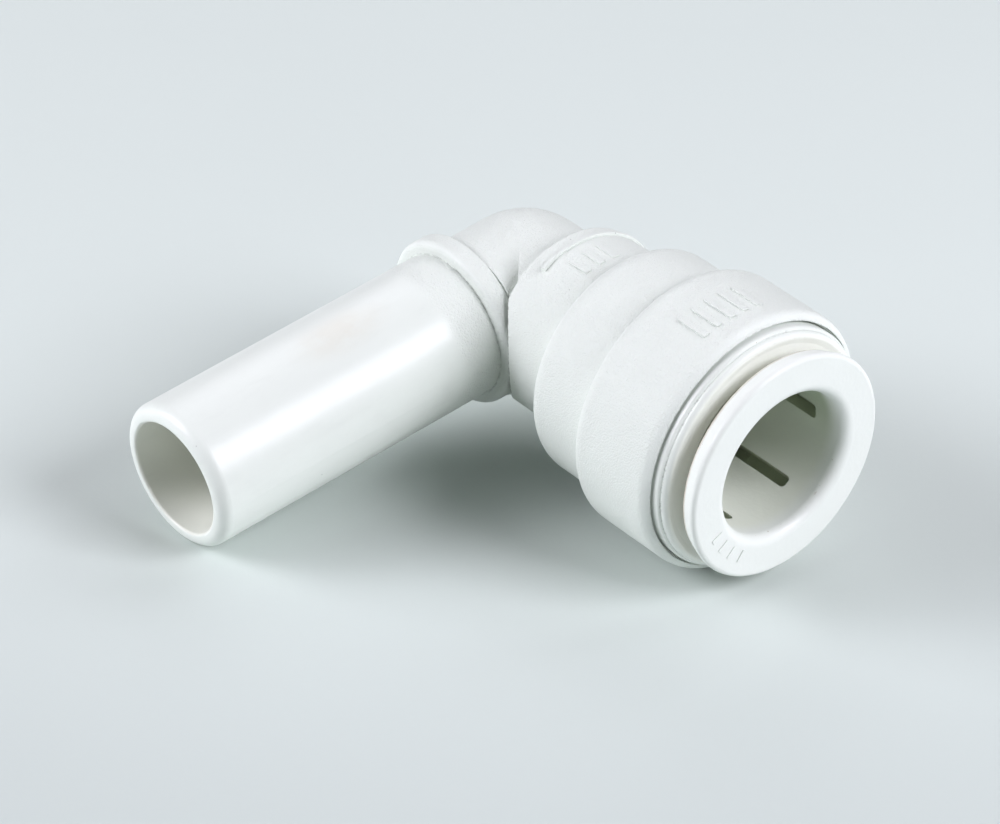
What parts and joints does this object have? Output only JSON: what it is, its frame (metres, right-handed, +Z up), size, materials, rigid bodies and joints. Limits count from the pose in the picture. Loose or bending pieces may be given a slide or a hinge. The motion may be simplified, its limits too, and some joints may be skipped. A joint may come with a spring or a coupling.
{
  "type": "push to connect fitting",
  "caption": "Plastic push-to-connect elbow: a plain 15 mm stem on one leg and a push-in tube socket with a release collet on the other.",
  "frame": {"origin": "on the socket's axis, where the straight wall of the collet's bore begins, 1.05 mm behind the flange's front face", "axes": "+Y out of the tube socket's mouth, +X along the stem towards its open end, +Z up, square to both legs"},
  "size_m": [0.0566, 0.0471, 0.0276],
  "materials": {
    "body_plastic": "white moulded plastic with a fine matte grain",
    "cap_plastic": "white moulded plastic, satin",
    "collet_plastic": "smooth white acetal, satin",
    "spacer_plastic": "smooth white plastic",
    "seal_rubber": "black EPDM with a film of grease",
    "tooth_steel": "bright stainless steel strip"
  },
  "bodies": {
    "fitting": {"elbow_body": "body_plastic", "retaining_cap": "cap_plastic", "o_ring": "seal_rubber"},
    "spacer": {"spacer_ring": "spacer_plastic"},
    "release_collet": {"collet": "collet_plastic", "grip_tooth_1": "tooth_steel", "grip_tooth_2": "tooth_steel", "grip_tooth_3": "tooth_steel", "grip_tooth_4": "tooth_steel", "grip_tooth_5": "tooth_steel", "grip_tooth_6": "tooth_steel"}
  },
  "joints": [
    {"name": "collet_spin", "type": "hinge", "parent": "fitting", "child": "spacer", "pos_m": [0, 0, 0], "axis": [0, 1, 0], "continuous": true},
    {"name": "collet_slide", "type": "slide", "parent": "spacer", "child": "release_collet", "axis": [0, 1, 0], "range_m": [-0.0011, 0.0004]}
  ]
}
